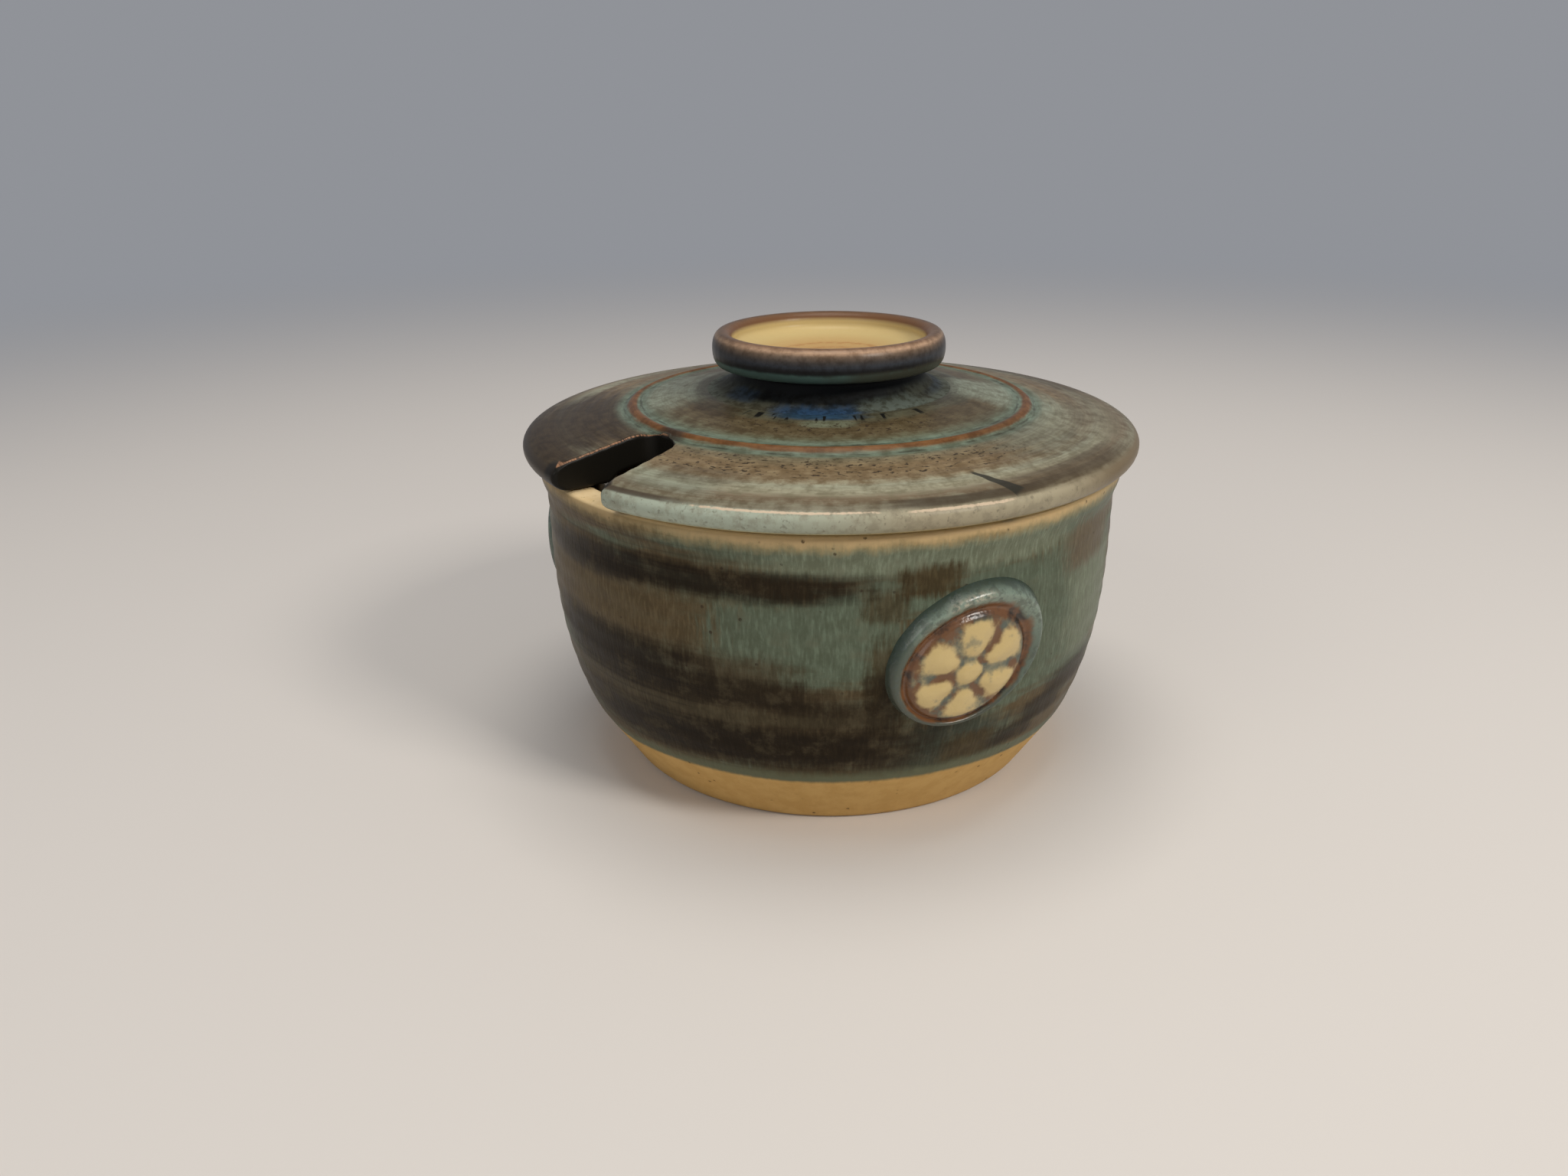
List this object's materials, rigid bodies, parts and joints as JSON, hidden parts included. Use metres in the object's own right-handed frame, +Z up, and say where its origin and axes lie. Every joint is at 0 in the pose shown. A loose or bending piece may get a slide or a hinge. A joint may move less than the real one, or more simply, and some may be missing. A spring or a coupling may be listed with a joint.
{
  "type": "lidded pottery jar",
  "caption": "Squat stoneware jar with a bare turned foot, stamped clay medallions on its wall and a lift-off lid that has a spoon notch and a hollow cup-shaped knob.",
  "frame": {"origin": "middle of the foot's underside, on the surface the jar stands on", "axes": "+Z up along the turning axis; the lid's spoon notch faces -Y"},
  "size_m": [0.11, 0.1095, 0.0765],
  "materials": {
    "jar_glaze": "semi-gloss running stoneware glaze, olive, teal and brown, bare buff clay at the foot",
    "lid_glaze": "semi-gloss stoneware glaze brushed on in rings of olive, teal and brown",
    "knob_glaze": "glossy dark brown and blue glaze outside, cream glaze inside the cup",
    "medallion_glaze": "cream and teal glaze with rust in the stamped hollows"
  },
  "bodies": {
    "jar": {"jar_body": "jar_glaze", "medallion_right": "medallion_glaze", "medallion_back": "medallion_glaze", "medallion_left": "medallion_glaze"},
    "lid": {"lid": "lid_glaze", "lid_knob": "knob_glaze"}
  },
  "joints": [
    {"name": "lid_lift", "type": "slide", "parent": "jar", "child": "lid", "axis": [0, 0, 1], "range_m": [0, 0.08]}
  ]
}
